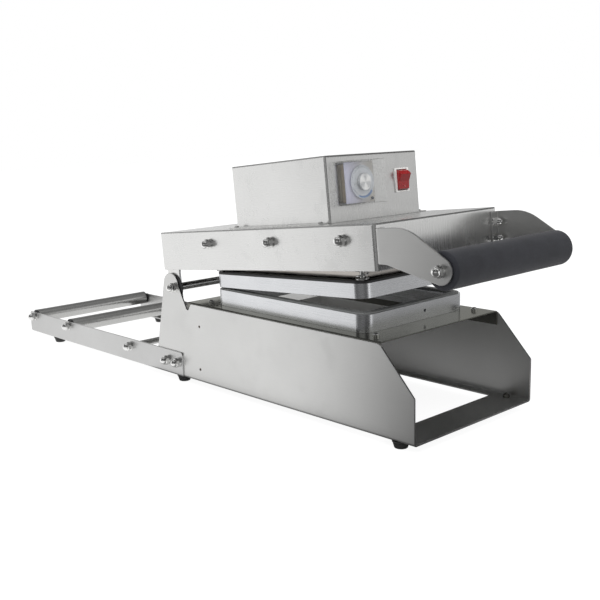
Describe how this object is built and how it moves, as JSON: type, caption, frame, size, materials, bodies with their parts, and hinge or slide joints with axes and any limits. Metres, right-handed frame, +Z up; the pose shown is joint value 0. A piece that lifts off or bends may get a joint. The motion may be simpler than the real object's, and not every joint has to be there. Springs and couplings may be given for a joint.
{
  "type": "tray sealer",
  "caption": "Manual tray sealer: bent steel base with a tray die, hinged heated head with foam grip, dial and red rocker, and a film roll rack behind.",
  "frame": {"origin": "floor under the middle of the machine's bounding box", "axes": "+X to the right seen from the handle, +Y from the handle to the film rack, +Z up"},
  "size_m": [0.2812, 1.014, 0.3525],
  "materials": {
    "stainless_sheet": "brushed, grain along each sheet",
    "deck_steel": "polished",
    "bright_steel": "polished",
    "dark_steel": "oxidised",
    "heat_cover": "polished",
    "die_aluminium": "satin machined",
    "gasket_rubber": "matt",
    "black_rubber": "matt",
    "black_plastic": "matt",
    "grip_foam": "matt foam",
    "insulation": "matt",
    "switch_white": "gloss",
    "rocker_red": "translucent gloss",
    "dial_grey": "satin",
    "clear_cover": "clear polycarbonate"
  },
  "bodies": {
    "base": {"base_shell": "stainless_sheet", "deck_plate": "deck_steel", "rear_bulkhead": "stainless_sheet", "bulkhead_screws": "dark_steel", "deck_studs": "bright_steel", "lower_die": "die_aluminium", "lower_gasket": "gasket_rubber", "base_feet": "black_rubber", "foot_screws": "bright_steel", "left_rail": "stainless_sheet", "right_rail": "stainless_sheet", "rail_feet": "black_rubber", "front_axle": "bright_steel", "rear_axle": "bright_steel", "tie_rod": "bright_steel", "rail_bolts": "bright_steel", "rack_cap_nuts": "bright_steel", "rack_washers": "bright_steel"},
    "front_roller_body": {"front_roller": "bright_steel", "front_roller_bushes": "black_plastic"},
    "rear_roller_body": {"rear_roller": "bright_steel", "rear_roller_bushes": "black_plastic"},
    "hinge_shaft": {"pivot_shaft": "bright_steel", "thrust_washers": "black_plastic", "pivot_cap_nuts": "bright_steel", "pivot_washers": "bright_steel"},
    "head": {"head_shell": "stainless_sheet", "head_subframe": "stainless_sheet", "left_hinge_arm": "stainless_sheet", "right_hinge_arm": "stainless_sheet", "head_screws": "bright_steel", "head_cap_nuts": "bright_steel", "head_washers": "bright_steel", "heater_block": "die_aluminium", "heating_element": "dark_steel", "heater_insulation": "insulation", "heater_cover": "heat_cover", "heater_standoffs": "bright_steel", "heater_screws": "bright_steel", "temperature_probe": "bright_steel", "thermal_cutout": "insulation", "control_box": "stainless_sheet", "box_screws": "bright_steel", "thermostat_housing": "black_plastic", "dial_plate": "dial_grey", "pilot_lamp": "dial_grey", "window_cover": "clear_cover", "switch_housing": "switch_white", "terminal_block": "insulation", "cable_gland": "black_plastic", "left_bracket": "stainless_sheet", "right_bracket": "stainless_sheet", "handle_bar": "bright_steel", "foam_grip": "grip_foam"},
    "clamp": {"clamp_frame": "die_aluminium", "insulating_ring": "black_plastic", "spring_posts": "bright_steel", "post_springs": "bright_steel"},
    "rocker_body": {"rocker": "rocker_red"},
    "knob_body": {"thermostat_knob": "dial_grey"}
  },
  "joints": [
    {"name": "head_lift", "type": "hinge", "parent": "base", "child": "hinge_shaft", "pos_m": [0, 0.02897, 0.15], "axis": [-1, 0, 0], "range_deg": [0, 70]},
    {"name": "head_press", "type": "hinge", "parent": "hinge_shaft", "child": "head", "pos_m": [0, 0.02897, 0.15], "axis": [-1, 0, 0], "range_deg": [-5.47, 0], "stiffness_Nm_per_rad": 60, "springref_deg": 28.65},
    {"name": "clamp_frame_float", "type": "hinge", "parent": "head", "child": "clamp", "pos_m": [0, 0.13747, 0.13961], "axis": [-1, 0, 0], "range_deg": [0, 2.03], "deforming": ["post_springs"]},
    {"name": "front_roller_spin", "type": "hinge", "parent": "base", "child": "front_roller_body", "pos_m": [0, 0.36197, 0.0405], "axis": [1, 0, 0], "continuous": true},
    {"name": "rear_roller_spin", "type": "hinge", "parent": "base", "child": "rear_roller_body", "pos_m": [0, 0.49047, 0.0405], "axis": [1, 0, 0], "continuous": true},
    {"name": "rocker_tilt", "type": "hinge", "parent": "head", "child": "rocker_body", "pos_m": [0.0555, -0.27237, 0.31297], "axis": [1, 0, 0], "range_deg": [-28, 0]},
    {"name": "thermostat_turn", "type": "hinge", "parent": "head", "child": "knob_body", "pos_m": [-0.0355, -0.27467, 0.3152], "axis": [0, -0.9954, 0.0953], "range_deg": [-200, 100]}
  ],
  "couplings": [
    {"joint": "clamp_frame_float", "follows": "head_press", "ratio": -0.369}
  ]
}
